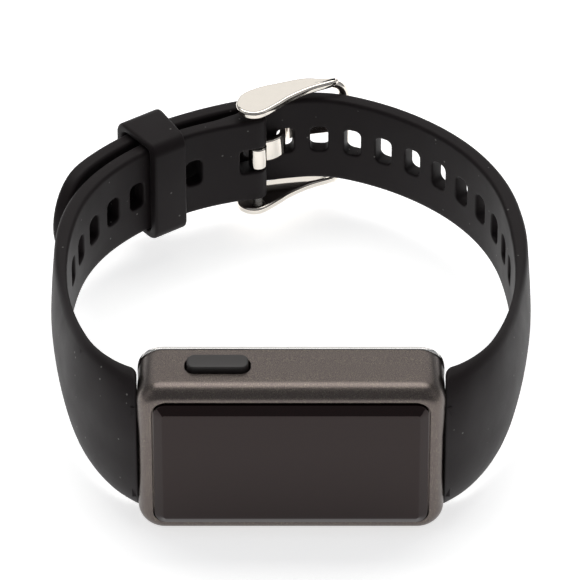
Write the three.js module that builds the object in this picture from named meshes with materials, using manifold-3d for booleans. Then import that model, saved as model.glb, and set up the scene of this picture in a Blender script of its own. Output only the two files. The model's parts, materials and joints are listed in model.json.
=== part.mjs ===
// A fitness tracker band: a metal case with a bevelled display glass, a silicone strap in two
// halves on spring bars, a tang buckle with its prong, and a sliding keeper loop.
// Millimetres. X runs along the display, +Y from the display to the wrist, +Z up the strap's width.
// The display glass faces -Y, and the band stands on the lower long side of its case at Z = 0.
import * as THREE from 'three';
import { mergeVertices } from 'three/addons/utils/BufferGeometryUtils.js';
import Module from 'manifold-3d';

const wasm = await Module();
wasm.setup();

// Driving dimensions. Depths (Y) count from the front of the glass, heights (Z) from mid-width.
const caseSize = { length: 42.5, width: 25.3, corner: 3.5, fillet: 2.1, front: 1, back: 10.5 };
const cavity = { length: 32.4, width: 20.6, corner: 1.2, front: 2.7 };
const glass = { length: 37.9, width: 21.0, corner: 1.7, bevelWidth: 1.4, bevelDepth: 0.8, back: 1.7 };
const glassSeat = { gap: 0.25, depth: 1.9, openLength: 34.8, openWidth: 17.8 };
const cover = { inset: 0.6, front: 11.1, back: 11.9, spigotFront: 10.7 };
const trim = { width: 1.0, front: 10.5, back: 11.1 };
const sensor = { windowRadius: 6, gap: 0.1, seat: 11.5, bossRadius: 7.6, bossBack: 12.2, hole: 4.8 };
const button = {
  x: -10.1, y: 6.9, length: 8.5, width: 3.0, root: 10.5, top: 13.5, gap: 0.3, collar: 0.6, flange: 0.5,
};
const screw = {
  x: 18.4, z: 9.2, headRadius: 1.1, shankRadius: 0.5, tip: 8.4, headFront: 11.3,
  headGap: 0.1, shankGap: 0.15,
};
const springBar = { x: 19.3, y: 5.0, radius: 0.75, halfLength: 8.1, tipRadius: 0.35, tipReach: 9.2 };
const lug = { inner: 17.2, front: 3.0, back: 7.2, halfWidth: 8.4 };
const strap = {
  startX: 21.5, innerY: 7.6, outerY: 2.2, heading: 34,
  thin: 2.3, extra: 1.2, fade: 16,
  wide: 23.9, narrow: 14.5, taperFrom: 0, taperTo: 37, taperStep: 4,
  holeLength: 2.6, holeWidth: 4.4, holeCorner: 0.8, pitch: 5.0,
  holesBefore: 10, holesAfter: 1, shortHoles: 7, lastHoleToEnd: 9.8,
};
// The parts inside the case: plates are [length, width, corner], front and back are depths.
const inside = {
  gasket: { outer: [37.3, 20.4, 1.4], inner: [35.4, 18.4, 0.8] },
  panel: { length: 34.4, width: 17.4, corner: 0.8, front: 1.7, back: 2.9 },
  carrier: { outer: [31.8, 20, 1], window: [26, 14, 1], rib: 2.4, front: 3.2, back: 4.0 },
  board: { length: 31, width: 19.6, corner: 0.8, front: 4.3, back: 5.1 },
  cell: { length: 16.5, width: 14.6, corner: 1, front: 5.5, back: 9.1, x: 1.8, z: -1.2 },
  motor: { radius: 2.8, x: 13.1, z: -5, front: 5.1, back: 7.8 },
  key: { length: 4, front: 5.1, back: 8.5, low: 7.4, high: 9.4, plunger: 0.6, overlap: 0.4, plungerTip: 9.9 },
  sensorBoard: { length: 13, width: 13, corner: 1, front: 9.4, back: 10.0 },
  sensorChip: { length: 6, width: 4.4, corner: 0.4, front: 10.0, back: 10.9 },
};
const contact = { x: 2.4, z: -9.8, radius: 0.95, gap: 0.1, front: 10.8, back: 11.85 };
const seal = { outer: [39.8, 22.6, 2.2], inner: [33.4, 21.2, 1], screwGap: 0.2 };
// Each strap half leaves the case at strap.heading degrees and turns through these [radius, degrees].
const longArcs = [[17.5, 36], [60, 20], [70, 11], [31, 35], [36, 25], [15, 27]];
const shortArcs = [[17.5, 36], [60, 20], [52, 12], [25, 28], [33, 30], [45, 8.5]];
const keeperArc = 4;
const freeEnd = { gap: 1.0, leaves: 152, ends: 111, bridge: 7 };
const pin = {
  x: -4.9, y: 71.4, radius: 0.7, halfLength: 8.95, socket: 9.05, clearance: 0.08, loopRadius: 1.75,
};
const keeper = { heading: 145.9, length: 6.2, wall: 1.6, gap: 0.25, halfWidth: 8.7 };
const buckle = {
  top: 9.45, armThickness: 1.2,
  bar: { x: 7.0, radius: 0.85, gap: 0.2, inset: 0.3 },
  side: [
    [-8.1, 71.6], [-7.6, 70.0], [-6.0, 69.0], [-4.2, 69.35], [-1.6, 71.5], [0, 73.1], [2.8, 75.1],
    [5.8, 76.6], [7.9, 77.4], [8.3, 78.3], [7.2, 78.7], [4.4, 78.1], [2.8, 78.1], [0, 77.4],
    [-4.3, 76.1], [-6.8, 74.6], [-7.7, 73.6],
  ],
};
const prong = {
  holeX: -0.8, width: 3.6, thickness: 1.0, knuckleRadius: 1.25, clearance: 0.12,
  route: [[-4.3, 71.7], [-2.5, 72.9], [-1.15, 74.6], [-1.15, 77.3], [0.6, 78.75], [4.6, 79.3], [8.6, 79.65]],
};

// A reach that is well outside the band, for cutters that must go right through it.
const clearAway = 60;

const band = new THREE.Group();
band.name = 'fitness_tracker_band';

const look = (color, roughness, metalness) => new THREE.MeshStandardMaterial({ color, roughness, metalness });
const looks = {
  caseMetal: () => look(0x4a443e, 0.45, 0.9),
  chrome: () => look(0xd8d4cc, 0.12, 1),
  steel: () => look(0xb8b6b2, 0.3, 1),
  glass: () => look(0x14100f, 0.05, 0),
  silicone: () => look(0x1d1b1b, 0.75, 0),
  blackPlastic: () => look(0x161616, 0.5, 0),
  board: () => look(0x14401f, 0.6, 0),
  cell: () => look(0x9a9ca0, 0.4, 0.6),
  gold: () => look(0xd2a347, 0.25, 1),
};

// Turns a closed three.js geometry into a solid that can be cut and joined.
function solid(geometry) {
  const bare = geometry.clone();
  bare.deleteAttribute('normal');
  bare.deleteAttribute('uv');
  const merged = mergeVertices(bare, 1e-5);
  return new wasm.Manifold(new wasm.Mesh({
    numProp: 3,
    vertProperties: new Float32Array(merged.attributes.position.array),
    triVerts: new Uint32Array(merged.index.array),
  }));
}

function geometryOf(piece) {
  const mesh = piece.getMesh();
  const geometry = new THREE.BufferGeometry();
  geometry.setAttribute('position', new THREE.BufferAttribute(new Float32Array(mesh.vertProperties), 3));
  geometry.setIndex(new THREE.BufferAttribute(new Uint32Array(mesh.triVerts), 1));
  geometry.computeVertexNormals();
  return geometry;
}

function add(name, piece, material) {
  const mesh = new THREE.Mesh(geometryOf(piece), material);
  mesh.name = name;
  band.add(mesh);
}

// Axis swaps, so that an outline drawn on one plane is extruded along the axis that is named.
const swapY = new THREE.Matrix4().set(1, 0, 0, 0, 0, 0, -1, 0, 0, 1, 0, 0, 0, 0, 0, 1);
const swapX = new THREE.Matrix4().set(0, 0, 1, 0, 1, 0, 0, 0, 0, 1, 0, 0, 0, 0, 0, 1);

function extrude(shape, depth, bevel = {}, curveSegments = 6) {
  return new THREE.ExtrudeGeometry(shape, { depth, steps: 1, curveSegments, bevelEnabled: false, ...bevel });
}

// An outline in X and Z, solid from depth y0 to depth y1.
function alongY(shape, y0, y1, curveSegments) {
  return solid(extrude(shape, y1 - y0, {}, curveSegments).applyMatrix4(swapY).translate(0, y1, 0));
}

// An outline in Y and Z, solid from x0 to x1.
function alongX(shape, x0, x1) {
  return solid(extrude(shape, x1 - x0).applyMatrix4(swapX).translate(x0, 0, 0));
}

// An outline in X and Y, solid from z0 to z1.
function alongZ(shape, z0, z1, curveSegments) {
  return solid(extrude(shape, z1 - z0, {}, curveSegments).translate(0, 0, z0));
}

// A rectangle with round corners, centred on (x, y).
function plate(length, width, corner, x = 0, y = 0) {
  const shape = new THREE.Shape();
  const l = length / 2;
  const w = width / 2;
  shape.moveTo(x - l + corner, y - w);
  shape.lineTo(x + l - corner, y - w);
  shape.absarc(x + l - corner, y - w + corner, corner, -Math.PI / 2, 0);
  shape.lineTo(x + l, y + w - corner);
  shape.absarc(x + l - corner, y + w - corner, corner, 0, Math.PI / 2);
  shape.lineTo(x - l + corner, y + w);
  shape.absarc(x - l + corner, y + w - corner, corner, Math.PI / 2, Math.PI);
  shape.lineTo(x - l, y - w + corner);
  shape.absarc(x - l + corner, y - w + corner, corner, Math.PI, 1.5 * Math.PI);
  return shape;
}

function disc(radius, x = 0, y = 0) {
  return new THREE.Shape().absarc(x, y, radius, 0, 2 * Math.PI);
}

function block(x0, x1, y0, y1, z0, z1) {
  const box = new THREE.BoxGeometry(x1 - x0, y1 - y0, z1 - z0);
  return solid(box.translate((x0 + x1) / 2, (y0 + y1) / 2, (z0 + z1) / 2));
}

// A pill-shaped peg that runs along Z, for the side button and its slot.
function pill(length, width, z0, z1) {
  return alongZ(plate(length, width, width / 2 - 0.01, button.x, button.y), z0, z1);
}

// An arc path in the XY plane: points with their heading in radians and distance along the path.
function arcPath(x, y, headingDegrees, arcs) {
  let heading = THREE.MathUtils.degToRad(headingDegrees);
  const path = [{ x, y, heading, s: 0 }];
  for (const [radius, degrees] of arcs) {
    const start = path.at(-1);
    const turn = THREE.MathUtils.degToRad(degrees);
    const centre = { x: start.x - radius * Math.sin(heading), y: start.y + radius * Math.cos(heading) };
    const steps = Math.max(3, Math.ceil(degrees / 4));
    for (let k = 1; k <= steps; k += 1) {
      const at = heading + (turn * k) / steps;
      path.push({
        x: centre.x + radius * Math.sin(at),
        y: centre.y - radius * Math.cos(at),
        heading: at,
        s: start.s + (radius * turn * k) / steps,
      });
    }
    heading += turn;
  }
  return path;
}

const mirrored = (path) => path.map((p) => ({ ...p, x: -p.x, heading: Math.PI - p.heading }));

// A path moved sideways: outwards from the wrist for a path that runs round it anticlockwise.
function beside(path, distance, side = 1) {
  return path.map((p) => {
    const d = typeof distance === 'function' ? distance(p.s) : distance;
    const away = { x: side * Math.sin(p.heading) * d, y: -side * Math.cos(p.heading) * d };
    return { ...p, x: p.x + away.x, y: p.y + away.y };
  });
}

function along(path, s) {
  const next = path.findIndex((p) => p.s >= s);
  const a = path[next - 1];
  const b = path[next];
  const f = (s - a.s) / (b.s - a.s);
  const mix = (u, v) => u + (v - u) * f;
  return { x: mix(a.x, b.x), y: mix(a.y, b.y), heading: mix(a.heading, b.heading), s };
}

// The distance along a path at which it passes x on its way back towards the left.
function crossing(path, x) {
  const next = path.findIndex((p, k) => k > 0 && p.x <= x && path[k - 1].x > x);
  const a = path[next - 1];
  const b = path[next];
  return a.s + ((a.x - x) / (a.x - b.x)) * (b.s - a.s);
}

function outline(points) {
  return new THREE.Shape(points.map((p) => new THREE.Vector2(p.x, p.y)));
}

const thickness = (s) => strap.thin + strap.extra * Math.exp(-s / strap.fade);

// The side view of a strap half: full width at the case, narrowing smoothly towards the buckle.
function taper() {
  const widthAt = (y) => {
    const f = THREE.MathUtils.smoothstep(y, strap.taperFrom, strap.taperTo);
    return strap.wide + (strap.narrow - strap.wide) * f;
  };
  const edge = [[-clearAway, strap.wide / 2]];
  for (let y = strap.taperFrom; y < strap.taperTo; y += strap.taperStep) edge.push([y, widthAt(y) / 2]);
  edge.push([strap.taperTo, strap.narrow / 2], [2 * clearAway, strap.narrow / 2]);
  const shape = new THREE.Shape();
  edge.forEach(([y, z], k) => (k ? shape.lineTo(y, z) : shape.moveTo(y, z)));
  edge.reverse().forEach(([y, z]) => shape.lineTo(y, -z));
  return alongX(shape, -clearAway, clearAway);
}
const tapered = taper();

// A strap half before its holes: the band between two paths, with a square end at the case.
function strapBand(inner, outer, side) {
  const corner = { x: side * strap.startX, y: strap.outerY };
  const shape = outline([...inner, ...outer.toReversed(), corner]);
  return alongZ(shape, -strap.wide / 2, strap.wide / 2).intersect(tapered);
}

// The tongue that reaches into the case and holds the spring bar.
function tongue(side) {
  const x = side * springBar.x;
  const root = side * (strap.startX + 1.5);
  const halfWidth = lug.halfWidth - 0.3;
  const low = Math.min(x, root);
  const high = Math.max(x, root);
  const eye = alongZ(disc(1.7, x, springBar.y), -halfWidth, halfWidth);
  return block(low, high, springBar.y - 1.7, springBar.y + 1.7, -halfWidth, halfWidth).add(eye);
}

// A piece drawn flat at the origin, set on a path: its length along the path, its depth across it.
function placed(geometry, at, across = 0, side = 1) {
  const turned = geometry.clone().rotateZ(at.heading);
  const x = at.x + side * Math.sin(at.heading) * across;
  const y = at.y - side * Math.cos(at.heading) * across;
  return solid(turned.translate(x, y, 0));
}

function hole(at, side) {
  const shape = plate(strap.holeLength, strap.holeWidth, strap.holeCorner);
  const cutter = extrude(shape, 8, {}, 1).translate(0, 0, -4).applyMatrix4(swapY);
  return placed(cutter, at, strap.thin / 2, side);
}

const longStart = arcPath(strap.startX, strap.innerY, strap.heading, longArcs);
const shortRight = arcPath(strap.startX, strap.innerY, strap.heading, shortArcs);
const shortInner = mirrored(shortRight);
const shortOuter = beside(shortInner, thickness, -1);

// The long half goes on over the buckle's pin and lies on the short half as far as its tip.
function longPath() {
  const degrees = (p) => 180 - THREE.MathUtils.radToDeg(p.heading);
  const under = shortInner.filter((p) => degrees(p) <= freeEnd.leaves && degrees(p) >= freeEnd.ends);
  const lying = beside(under, strap.thin + freeEnd.gap, -1).toReversed();
  for (const p of lying) p.heading += Math.PI;
  const from = longStart.at(-1);
  const to = lying[0];
  const handle = (p, d) => new THREE.Vector2(p.x + d * Math.cos(p.heading), p.y + d * Math.sin(p.heading));
  const bridge = new THREE.CubicBezierCurve(
    handle(from, 0), handle(from, freeEnd.bridge), handle(to, -freeEnd.bridge), handle(to, 0),
  );
  const path = [...longStart];
  const steps = 10;
  for (let k = 1; k < steps; k += 1) {
    const p = bridge.getPoint(k / steps);
    const t = bridge.getTangent(k / steps);
    path.push({ x: p.x, y: p.y, heading: Math.atan2(t.y, t.x), s: 0 });
  }
  path.push(...lying);
  for (let k = longStart.length; k < path.length; k += 1) {
    path[k].s = path[k - 1].s + Math.hypot(path[k].x - path[k - 1].x, path[k].y - path[k - 1].y);
    while (path[k].heading < path[k - 1].heading - Math.PI) path[k].heading += 2 * Math.PI;
    while (path[k].heading > path[k - 1].heading + Math.PI) path[k].heading -= 2 * Math.PI;
  }
  return path;
}
const longInner = longPath();
const longOuter = beside(longInner, thickness, 1);

// The buckle's crossbar lies on the outside of the long half.
const bar = beside([along(longInner, crossing(longInner, buckle.bar.x))],
  strap.thin + buckle.bar.gap + buckle.bar.radius)[0];

function caseShell() {
  const { length, width, corner, fillet, front, back } = caseSize;
  const core = plate(length - 2 * fillet, width - 2 * fillet, corner - fillet);
  const bevel = { bevelEnabled: true, bevelSize: fillet, bevelThickness: fillet, bevelSegments: 4 };
  const body = solid(extrude(core, back + fillet - front, bevel, 4).applyMatrix4(swapY)
    .translate(0, back + 2 * fillet, 0));
  const seat = plate(glass.length + 2 * glassSeat.gap, glass.width + 2 * glassSeat.gap, glass.corner);
  let shell = body.intersect(block(-40, 40, front, back, -40, 40))
    .subtract(alongY(seat, front - 1, glassSeat.depth))
    .subtract(alongY(plate(glassSeat.openLength, glassSeat.openWidth, 1), front, cavity.front + 1))
    .subtract(alongY(plate(cavity.length, cavity.width, cavity.corner), cavity.front, back + 1))
    .subtract(pill(button.length + 2 * button.gap, button.width + 2 * button.gap, cavity.width / 2 + 0.9, 20))
    .subtract(pill(button.length + 2 * button.gap + 2 * button.collar,
      button.width + 2 * button.gap + 2 * button.collar, cavity.width / 2 - 1, cavity.width / 2 + 0.9));
  for (const side of [-1, 1]) {
    const ends = [side * lug.inner, side * (length / 2 + 1)].sort((a, b) => a - b);
    shell = shell.subtract(block(...ends, lug.front, lug.back, -lug.halfWidth, lug.halfWidth));
    const tip = disc(springBar.tipRadius + 0.1, side * springBar.x, springBar.y);
    shell = shell.subtract(alongZ(tip, -springBar.tipReach - 0.2, springBar.tipReach + 0.2));
    for (const up of [-1, 1]) {
      const thread = disc(screw.shankRadius + 0.05, side * screw.x, up * screw.z);
      shell = shell.subtract(alongY(thread, screw.tip - 0.3, back + 1, 4));
    }
  }
  return shell;
}

function coverGlass() {
  const { length, width, corner, bevelWidth, bevelDepth, back } = glass;
  const face = plate(length - 2 * bevelWidth, width - 2 * bevelWidth, 0.3);
  const bevel = { bevelEnabled: true, bevelSize: bevelWidth, bevelThickness: bevelDepth, bevelSegments: 1 };
  const body = solid(extrude(face, back, bevel, 4).applyMatrix4(swapY).translate(0, back + bevelDepth, 0));
  const edge = alongY(plate(length, width, corner), -1, back);
  return body.intersect(edge);
}

function ring(outer, inner, y0, y1) {
  return alongY(outer, y0, y1).subtract(alongY(inner, y0 - 1, y1 + 1));
}

function backCover() {
  const inset = 2 * cover.inset;
  const spigot = 2 * (trim.width + 0.2);
  let piece = alongY(plate(caseSize.length - inset, caseSize.width - inset, 2.9), cover.front, cover.back)
    .add(alongY(plate(caseSize.length - spigot, caseSize.width - spigot, 2.3), cover.spigotFront, cover.back))
    .add(alongY(disc(sensor.bossRadius), cover.back - 0.2, sensor.bossBack, 12))
    .subtract(alongY(disc(sensor.windowRadius + sensor.gap), sensor.seat, 20, 12))
    .subtract(alongY(disc(sensor.hole), 10, 20, 12));
  for (const x of [-1, 1]) {
    piece = piece.subtract(alongY(disc(contact.radius + contact.gap, x * contact.x, contact.z), 10, 20, 6));
    for (const z of [-1, 1]) {
      const head = disc(screw.headRadius + screw.headGap, x * screw.x, z * screw.z);
      const shank = disc(screw.shankRadius + screw.shankGap, x * screw.x, z * screw.z);
      piece = piece.subtract(alongY(head, screw.headFront, 20, 5)).subtract(alongY(shank, 10, 20, 5));
    }
  }
  return piece;
}

function sealHoles() {
  const holes = [];
  for (const x of [-1, 1]) {
    for (const z of [-1, 1]) {
      const shape = disc(screw.shankRadius + seal.screwGap, x * screw.x, z * screw.z);
      holes.push(alongY(shape, caseSize.back - 1, cover.spigotFront + 1, 5));
    }
  }
  return holes.reduce((all, one) => all.add(one));
}

function coverScrew(x, z) {
  return alongY(disc(screw.headRadius, x, z), screw.headFront, cover.back - 0.1, 5)
    .add(alongY(disc(screw.shankRadius, x, z), screw.tip, screw.headFront + 0.2, 5))
    .subtract(block(x - 0.8, x + 0.8, cover.back - 0.4, 20, z - 0.15, z + 0.15));
}

function springBarPiece(side) {
  const x = side * springBar.x;
  return alongZ(disc(springBar.radius, x, springBar.y), -springBar.halfLength, springBar.halfLength)
    .add(alongZ(disc(springBar.tipRadius, x, springBar.y), -springBar.tipReach, springBar.tipReach));
}

function addPlate(name, size, material) {
  const { length, width, corner, front, back, x = 0, z = 0 } = size;
  add(name, alongY(plate(length, width, corner, x, z), front, back), material);
}

function buildElectronics() {
  const { gasket, panel, carrier, board, cell, motor, key, sensorBoard, sensorChip } = inside;
  add('display_gasket', ring(plate(...gasket.outer), plate(...gasket.inner), glass.back, glassSeat.depth),
    looks.blackPlastic());
  addPlate('display_panel', panel, looks.blackPlastic());
  const rib = block(-carrier.window[0] / 2, carrier.window[0] / 2, carrier.front, carrier.back,
    -carrier.rib / 2, carrier.rib / 2);
  const frame = ring(plate(...carrier.outer), plate(...carrier.window), carrier.front, carrier.back);
  add('inner_frame', frame.add(rib), looks.blackPlastic());
  addPlate('main_board', board, looks.board());
  addPlate('battery', cell, looks.cell());
  const can = alongY(disc(motor.radius, motor.x, motor.z), motor.front, motor.back, 10);
  add('vibration_motor', can, looks.steel());
  const plunger = alongZ(disc(key.plunger, button.x, button.y), key.high - key.overlap, key.plungerTip, 6);
  const ends = [button.x - key.length / 2, button.x + key.length / 2];
  add('button_switch', block(...ends, key.front, key.back, key.low, key.high).add(plunger), looks.steel());
  addPlate('sensor_board', sensorBoard, looks.board());
  addPlate('optical_sensor', sensorChip, looks.blackPlastic());
}

function buildCase() {
  add('case_shell', caseShell(), looks.caseMetal());
  add('cover_glass', coverGlass(), looks.glass());
  buildElectronics();
  const flange = pill(button.length + 2 * button.collar, button.width + button.collar, button.root,
    button.root + button.flange);
  const key = pill(button.length, button.width, button.root, button.top);
  add('side_button', key.add(flange), looks.blackPlastic());
  const inner = plate(caseSize.length - 2 * trim.width, caseSize.width - 2 * trim.width, 2.5);
  const outer = plate(caseSize.length, caseSize.width, caseSize.corner);
  add('back_trim_ring', ring(outer, inner, trim.front, trim.back), looks.chrome());
  add('back_seal', ring(plate(...seal.outer), plate(...seal.inner), caseSize.back, cover.spigotFront)
    .subtract(sealHoles()), looks.silicone());
  add('back_cover', backCover(), looks.blackPlastic());
  add('sensor_window', alongY(disc(sensor.windowRadius), sensor.seat, 12.3, 12), looks.glass());
  for (const [name, x] of [['charging_contact_left', -contact.x], ['charging_contact_right', contact.x]]) {
    add(name, alongY(disc(contact.radius, x, contact.z), contact.front, contact.back, 6), looks.gold());
  }
  let number = 1;
  for (const x of [-1, 1]) {
    for (const z of [-1, 1]) {
      add(`back_screw_${number}`, coverScrew(x * screw.x, z * screw.z), looks.steel());
      number += 1;
    }
  }
}

function buildStraps() {
  for (const [side, name] of [[1, 'spring_bar_right'], [-1, 'spring_bar_left']]) {
    add(name, springBarPiece(side), looks.steel());
  }
  const barHole = (side) => alongZ(disc(springBar.radius + 0.1, side * springBar.x, springBar.y), -20, 20);

  let long = strapBand(longInner, longOuter, 1).add(tongue(1)).subtract(barHole(1));
  const engaged = crossing(longInner, prong.holeX);
  for (let k = -strap.holesBefore; k <= strap.holesAfter; k += 1) {
    long = long.subtract(hole(along(longInner, engaged + k * strap.pitch), 1));
  }
  const tip = longInner.at(-1);
  const radius = strap.narrow / 2;
  const end = extrude(plate(4 * radius, 2 * radius, radius - 0.01), 12, {}, 10)
    .translate(-2 * radius, 0, -6).applyMatrix4(swapY);
  const beyond = new THREE.BoxGeometry(2 * radius, 12, 30);
  long = long.subtract(placed(beyond, tip, 0, 1).subtract(placed(end, tip, 0, 1)));
  add('strap_long', long, looks.silicone());

  const eye = alongZ(disc(pin.loopRadius, pin.x, pin.y), -strap.narrow / 2, strap.narrow / 2);
  let short = strapBand(shortInner, shortOuter, -1).add(eye).add(tongue(-1)).subtract(barHole(-1));
  short = short.subtract(alongZ(disc(pin.radius + 0.1, pin.x, pin.y), -20, 20));
  const slot = prong.width / 2 + 0.3;
  short = short.subtract(block(pin.x - 2.6, pin.x + 3, pin.y - 5, pin.y + 5, -slot, slot));
  const reach = shortInner.at(-1).s;
  for (let k = 0; k < strap.shortHoles; k += 1) {
    short = short.subtract(hole(along(shortInner, reach - strap.lastHoleToEnd - k * strap.pitch), -1));
  }
  add('strap_short', short, looks.silicone());
}

function keeperLoop() {
  const start = shortRight.find((p) => p.heading >= THREE.MathUtils.degToRad(130) - 1e-6);
  const radius = shortArcs[keeperArc][0];
  const centre = {
    x: -(start.x - radius * Math.sin(start.heading)),
    y: start.y + radius * Math.cos(start.heading),
  };
  const mid = THREE.MathUtils.degToRad(keeper.heading - 90);
  const half = keeper.length / 2 / (radius + strap.thin);
  const sector = (r0, r1) => {
    const shape = new THREE.Shape();
    shape.absarc(centre.x, centre.y, r1, Math.PI - mid - half, Math.PI - mid + half);
    shape.absarc(centre.x, centre.y, r0, Math.PI - mid + half, Math.PI - mid - half, true);
    return shape;
  };
  const stack = 2 * strap.thin + freeEnd.gap + 0.35;
  const inside = strap.narrow / 2 + keeper.gap;
  const outer = alongZ(sector(radius - keeper.gap - keeper.wall, radius + stack + keeper.wall),
    -keeper.halfWidth, keeper.halfWidth, 4);
  const hollow = new THREE.Shape();
  hollow.absarc(centre.x, centre.y, radius + stack, 0, 2 * Math.PI);
  const core = new THREE.Path();
  core.absarc(centre.x, centre.y, radius - keeper.gap, 0, 2 * Math.PI, true);
  hollow.holes.push(core);
  return outer.subtract(alongZ(hollow, -inside, inside, 40));
}

function buckleFrame() {
  const { top, armThickness, side } = buckle;
  const corners = [...side, side[0]].map(([x, y]) => new THREE.Vector2(x, y));
  const arm = new THREE.Shape(new THREE.SplineCurve(corners).getPoints(60).slice(0, -1));
  const barReach = top - buckle.bar.inset;
  return alongZ(arm, top - armThickness, top)
    .add(alongZ(arm, -top, armThickness - top))
    .add(alongZ(disc(buckle.bar.radius, bar.x, bar.y), -barReach, barReach))
    .subtract(alongZ(disc(pin.radius + pin.clearance, pin.x, pin.y), -pin.socket, pin.socket));
}

function bucklePin() {
  return alongZ(disc(pin.radius, pin.x, pin.y), -pin.halfLength, pin.halfLength);
}

// The side view of a strip of even thickness that follows a smooth line.
function stripOutline(points, thick) {
  const curve = new THREE.SplineCurve(points.map(([x, y]) => new THREE.Vector2(x, y)));
  const steps = 16;
  const left = [];
  const right = [];
  for (let k = 0; k <= steps; k += 1) {
    const p = curve.getPoint(k / steps);
    const t = curve.getTangent(k / steps);
    left.push({ x: p.x - (t.y * thick) / 2, y: p.y + (t.x * thick) / 2 });
    right.push({ x: p.x + (t.y * thick) / 2, y: p.y - (t.x * thick) / 2 });
  }
  return outline([...left, ...right.reverse()]);
}

function buckleProng() {
  const half = prong.width / 2;
  return alongZ(stripOutline(prong.route, prong.thickness), -half, half)
    .add(alongZ(disc(prong.knuckleRadius, pin.x, pin.y), -half, half))
    .subtract(alongZ(disc(pin.radius + prong.clearance, pin.x, pin.y), -clearAway, clearAway));
}

function buildBuckle() {
  add('buckle_pin', bucklePin(), looks.steel());
  add('buckle_frame', buckleFrame(), looks.chrome());
  add('buckle_prong', buckleProng(), looks.chrome());
  add('keeper_loop', keeperLoop(), looks.silicone());
}

buildCase();
buildStraps();
buildBuckle();

// The origin is under the middle of the band, on the surface that it stands on.
const reach = new THREE.Box3().setFromObject(band);
const middle = reach.getCenter(new THREE.Vector3());
band.position.set(-middle.x, -middle.y, -reach.min.z);

export default band;
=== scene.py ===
"""A fitness tracker band: metal case, dark display glass, silicone strap, tang buckle and keeper.

Sizes are in millimetres in the band's own directions: X along the display, Y from the glass
towards the wrist, Z from the middle of the strap's width. place() turns them into metres in the
frame's directions.
"""
import json
import math

import bmesh
import bpy
import numpy as np
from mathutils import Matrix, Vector
from mathutils.geometry import delaunay_2d_cdt

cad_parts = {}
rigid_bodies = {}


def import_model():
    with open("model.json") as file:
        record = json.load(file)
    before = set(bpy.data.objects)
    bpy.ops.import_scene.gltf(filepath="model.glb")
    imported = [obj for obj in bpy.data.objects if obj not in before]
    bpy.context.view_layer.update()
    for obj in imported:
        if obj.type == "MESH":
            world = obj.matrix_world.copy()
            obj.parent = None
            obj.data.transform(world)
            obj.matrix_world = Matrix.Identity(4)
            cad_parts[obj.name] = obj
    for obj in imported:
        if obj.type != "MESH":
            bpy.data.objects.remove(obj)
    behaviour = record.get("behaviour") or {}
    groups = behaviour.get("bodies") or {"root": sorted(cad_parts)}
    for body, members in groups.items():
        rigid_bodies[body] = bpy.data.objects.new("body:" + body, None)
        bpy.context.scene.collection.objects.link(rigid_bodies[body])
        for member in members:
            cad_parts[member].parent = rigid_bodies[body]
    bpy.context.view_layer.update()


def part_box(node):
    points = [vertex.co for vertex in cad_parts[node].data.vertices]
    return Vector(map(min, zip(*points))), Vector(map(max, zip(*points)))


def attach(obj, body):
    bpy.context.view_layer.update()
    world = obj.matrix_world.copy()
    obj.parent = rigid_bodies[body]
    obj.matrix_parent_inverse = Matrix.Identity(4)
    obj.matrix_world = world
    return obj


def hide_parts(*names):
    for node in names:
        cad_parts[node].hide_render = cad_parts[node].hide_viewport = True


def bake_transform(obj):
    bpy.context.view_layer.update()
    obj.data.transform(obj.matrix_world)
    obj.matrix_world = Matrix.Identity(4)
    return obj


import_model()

MM = 0.001
GLASS_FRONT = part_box("cover_glass")[0].y
MID_HEIGHT = sum(corner.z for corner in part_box("case_shell")) / 2


def place(x, y, z=0.0):
    return Vector((x * MM, GLASS_FRONT + y * MM, MID_HEIGHT + z * MM))


def size_of(node, axis):
    low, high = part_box(node)
    return (high[axis] - low[axis]) / MM


def depths_of(node):
    low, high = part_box(node)
    return (low.y - GLASS_FRONT) / MM, (high.y - GLASS_FRONT) / MM


# ---------- driving sizes, millimetres

CASE = {"length": size_of("case_shell", 0), "width": size_of("case_shell", 2), "corner": 3.5,
        "fillet": 2.6, "draft": 0.16, "opening_corner": 1.95}
GLASS = {"length": size_of("cover_glass", 0), "width": size_of("cover_glass", 2), "corner": 1.7,
         "bevel": 1.25, "bevel_depth": 0.72}
WINDOW = {"gap": 0.25, "seat": 1.9, "open_length": 34.8, "open_width": 17.8, "cavity_front": 2.7,
          "cavity_length": 32.4, "cavity_width": 20.6}
SLOT = {"length": 16.8, "width": 4.2, "corner": 0.7, "y": 5.1, "floor_x": 17.2}
BUTTON = {"x": -10.1, "y": 6.9, "length": 8.5, "width": 3.0, "corner": 1.15, "rim": 0.3, "dome": 0.04,
          "gap": 0.22, "lip": 0.2, "flange_bottom": 10.5, "flange_thickness": 0.5, "flange_ends": 0.6,
          "flange_sides": 0.5, "pocket_clearance": 0.3, "pocket_depth": 0.9}
TRIM_RIM = 0.16
COVER = {"front": 11.1, "back": 11.9, "step": 0.6, "corner": 2.9, "rim": 0.45, "boss_top": 12.2}
SCREWS = [(x * 18.4, z * 9.2) for x in (-1, 1) for z in (-1, 1)]
CONTACTS = {"charging_contact_left": (-2.4, -9.8), "charging_contact_right": (2.4, -9.8)}

STRAP = {"start_x": 21.5, "inner_y": 7.6, "outer_y": 2.2, "heading": 34, "thin": 2.3, "extra": 1.2,
         "fade": 16, "wide": 23.9, "narrow": 14.5, "taper_from": 0.0, "taper_to": 37.0,
         "hole_length": 2.6, "hole_width": 4.4, "hole_corner": 0.9, "pitch": 5.0}
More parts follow.
